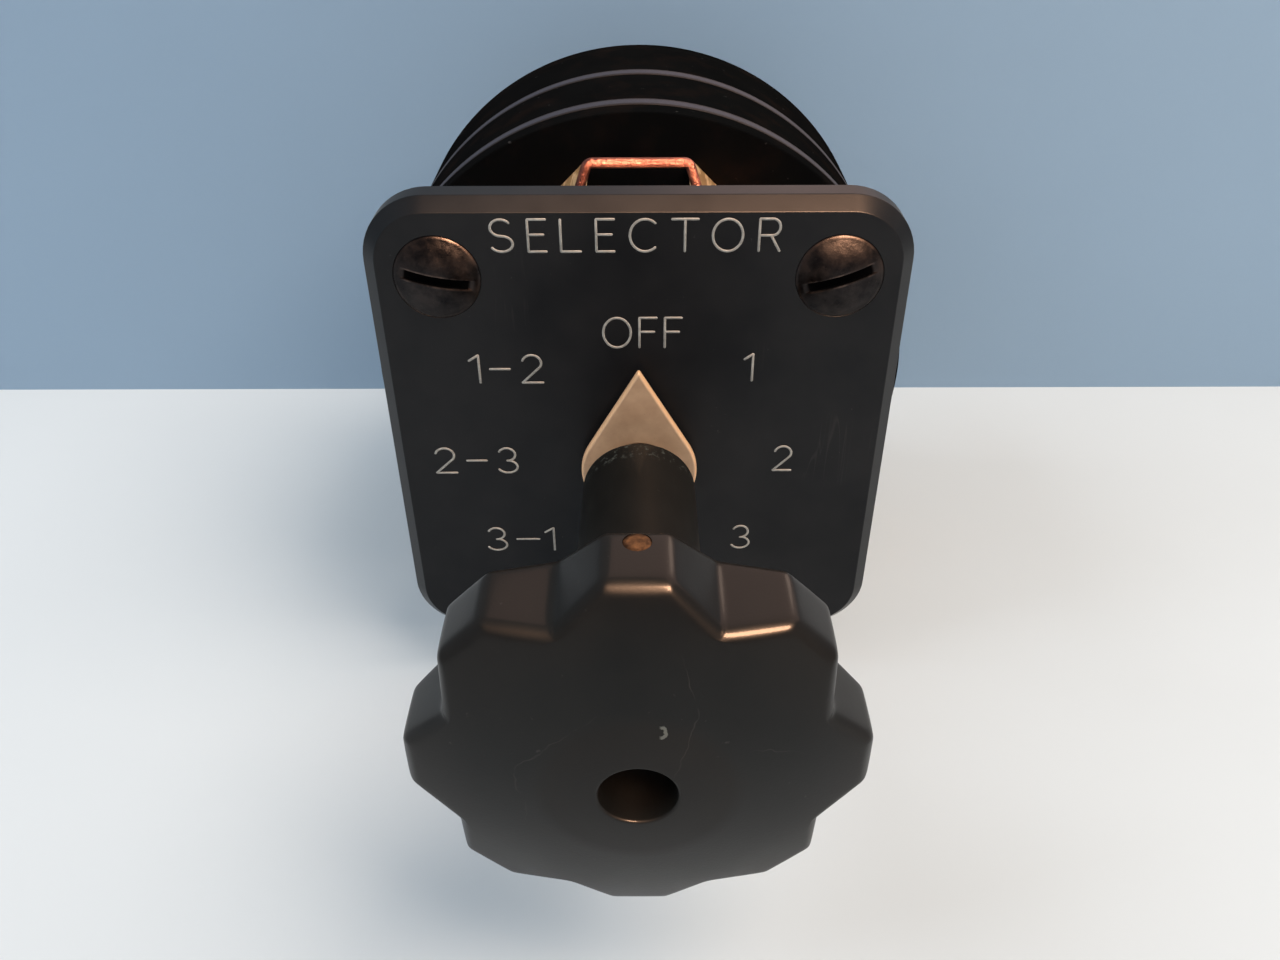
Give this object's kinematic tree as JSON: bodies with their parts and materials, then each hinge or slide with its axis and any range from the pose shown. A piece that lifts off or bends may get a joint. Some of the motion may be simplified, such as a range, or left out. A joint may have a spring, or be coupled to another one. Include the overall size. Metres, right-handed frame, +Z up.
{
  "type": "rotary transfer switch",
  "caption": "Panel-mounted rotary instrument transfer switch with a lobed knob on a long hub, pointer, bevelled escutcheon with dial marks, star-wheel detent and stacked contact barrels.",
  "frame": {"origin": "on the shaft's axis, in the plane where the escutcheon's rear face lies on the panel", "axes": "+Y into the panel along the shaft's axis, +Z up towards the OFF place, +X right as seen from the knob's side"},
  "size_m": [0.0742, 0.1147, 0.0742],
  "materials": {
    "black_enamel": "satin black enamel with filled white marks",
    "dark_steel": "dark oiled steel",
    "zinc_plate": "bright zinc plate",
    "yellow_zinc": "yellow dichromated zinc",
    "phenolic": "glossy black moulded phenolic",
    "brown_phenolic": "brown laminated phenolic",
    "fibre": "grey vulcanised fibre",
    "ivory_plastic": "ivory moulded plastic",
    "brass": "bright brass",
    "spring_bronze": "phosphor bronze strip and wire",
    "silver": "fine silver"
  },
  "bodies": {
    "housing": {"escutcheon_plate": "black_enamel", "mounting_screws": "dark_steel", "mounting_plate": "zinc_plate", "spacer_posts": "zinc_plate", "front_support": "phenolic", "shaft_bushing": "brass", "detent_spring": "spring_bronze", "spring_pegs": "dark_steel", "spring_keeper": "yellow_zinc", "keeper_screws": "zinc_plate", "stop_pins": "dark_steel", "barrier_disc_1": "fibre", "barrier_disc_2": "fibre", "contact_barrel_1": "phenolic", "contact_barrel_2": "phenolic", "terminals_1": "brass", "terminals_2": "brass", "terminal_clamps_1": "zinc_plate", "terminal_clamps_2": "zinc_plate", "terminal_screws_1": "zinc_plate", "terminal_screws_2": "zinc_plate", "contact_fingers_1": "spring_bronze", "contact_fingers_2": "spring_bronze", "finger_rivets_1": "brass", "finger_rivets_2": "brass", "contact_tips_1": "silver", "contact_tips_2": "silver", "rear_plate": "phenolic", "rear_bushing": "brass", "tie_bolts": "zinc_plate", "lock_washers": "zinc_plate", "tie_nuts": "zinc_plate"},
    "rotor": {"knob": "phenolic", "pointer": "ivory_plastic", "knob_set_pin": "brass", "operating_shaft": "zinc_plate", "star_wheel": "dark_steel", "stop_arm": "dark_steel", "stage_rotor_1": "brown_phenolic", "stage_rotor_2": "brown_phenolic", "rotor_segments_1": "brass", "rotor_segments_2": "brass", "thrust_washer": "zinc_plate", "retaining_ring": "dark_steel"}
  },
  "joints": [
    {"name": "knob_turn", "type": "hinge", "parent": "housing", "child": "rotor", "pos_m": [0, 0, 0], "axis": [0, 1, 0], "range_deg": [-135, 135], "deforming": ["detent_spring"]}
  ]
}
